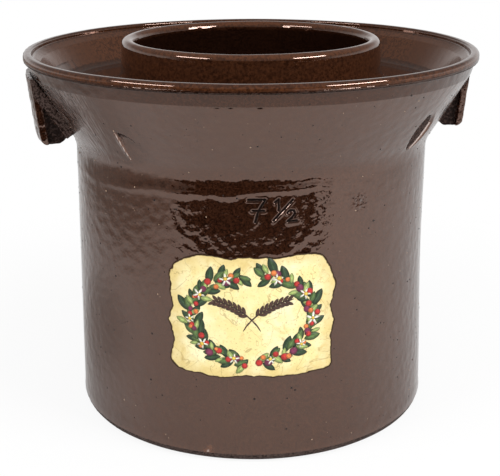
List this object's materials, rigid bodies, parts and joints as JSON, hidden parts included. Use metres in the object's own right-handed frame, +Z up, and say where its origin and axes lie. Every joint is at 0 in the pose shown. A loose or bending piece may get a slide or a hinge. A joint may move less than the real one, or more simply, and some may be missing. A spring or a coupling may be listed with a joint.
{
  "type": "fermentation crock",
  "caption": "Open stoneware fermentation crock with a flared water gutter round a raised collar, lug handles under the rim and loose weighting stones inside.",
  "frame": {"origin": "centre of the foot ring, on the surface that the crock stands on", "axes": "+Z up along the axis of revolution, -Y to the front face with the label, +X to the right seen from the front"},
  "size_m": [0.294, 0.294, 0.247],
  "materials": {
    "brown_glaze": "glossy dark brown salt-like glaze with orange-peel texture",
    "label_paper": "printed cream paper, slightly yellowed",
    "bare_stoneware": "unglazed fired stoneware, matt"
  },
  "bodies": {
    "crock": {"pot_body": "brown_glaze", "collar_ring": "brown_glaze", "handle_left": "brown_glaze", "handle_right": "brown_glaze", "label": "label_paper"},
    "front_stone": {"weight_stone_front": "bare_stoneware"},
    "back_stone": {"weight_stone_back": "bare_stoneware"}
  },
  "joints": [
    {"name": "front_stone_lift", "type": "slide", "parent": "crock", "child": "front_stone", "axis": [0, 0, 1], "range_m": [0, 0.17]},
    {"name": "back_stone_lift", "type": "slide", "parent": "crock", "child": "back_stone", "axis": [0, 0, 1], "range_m": [0, 0.17]}
  ]
}
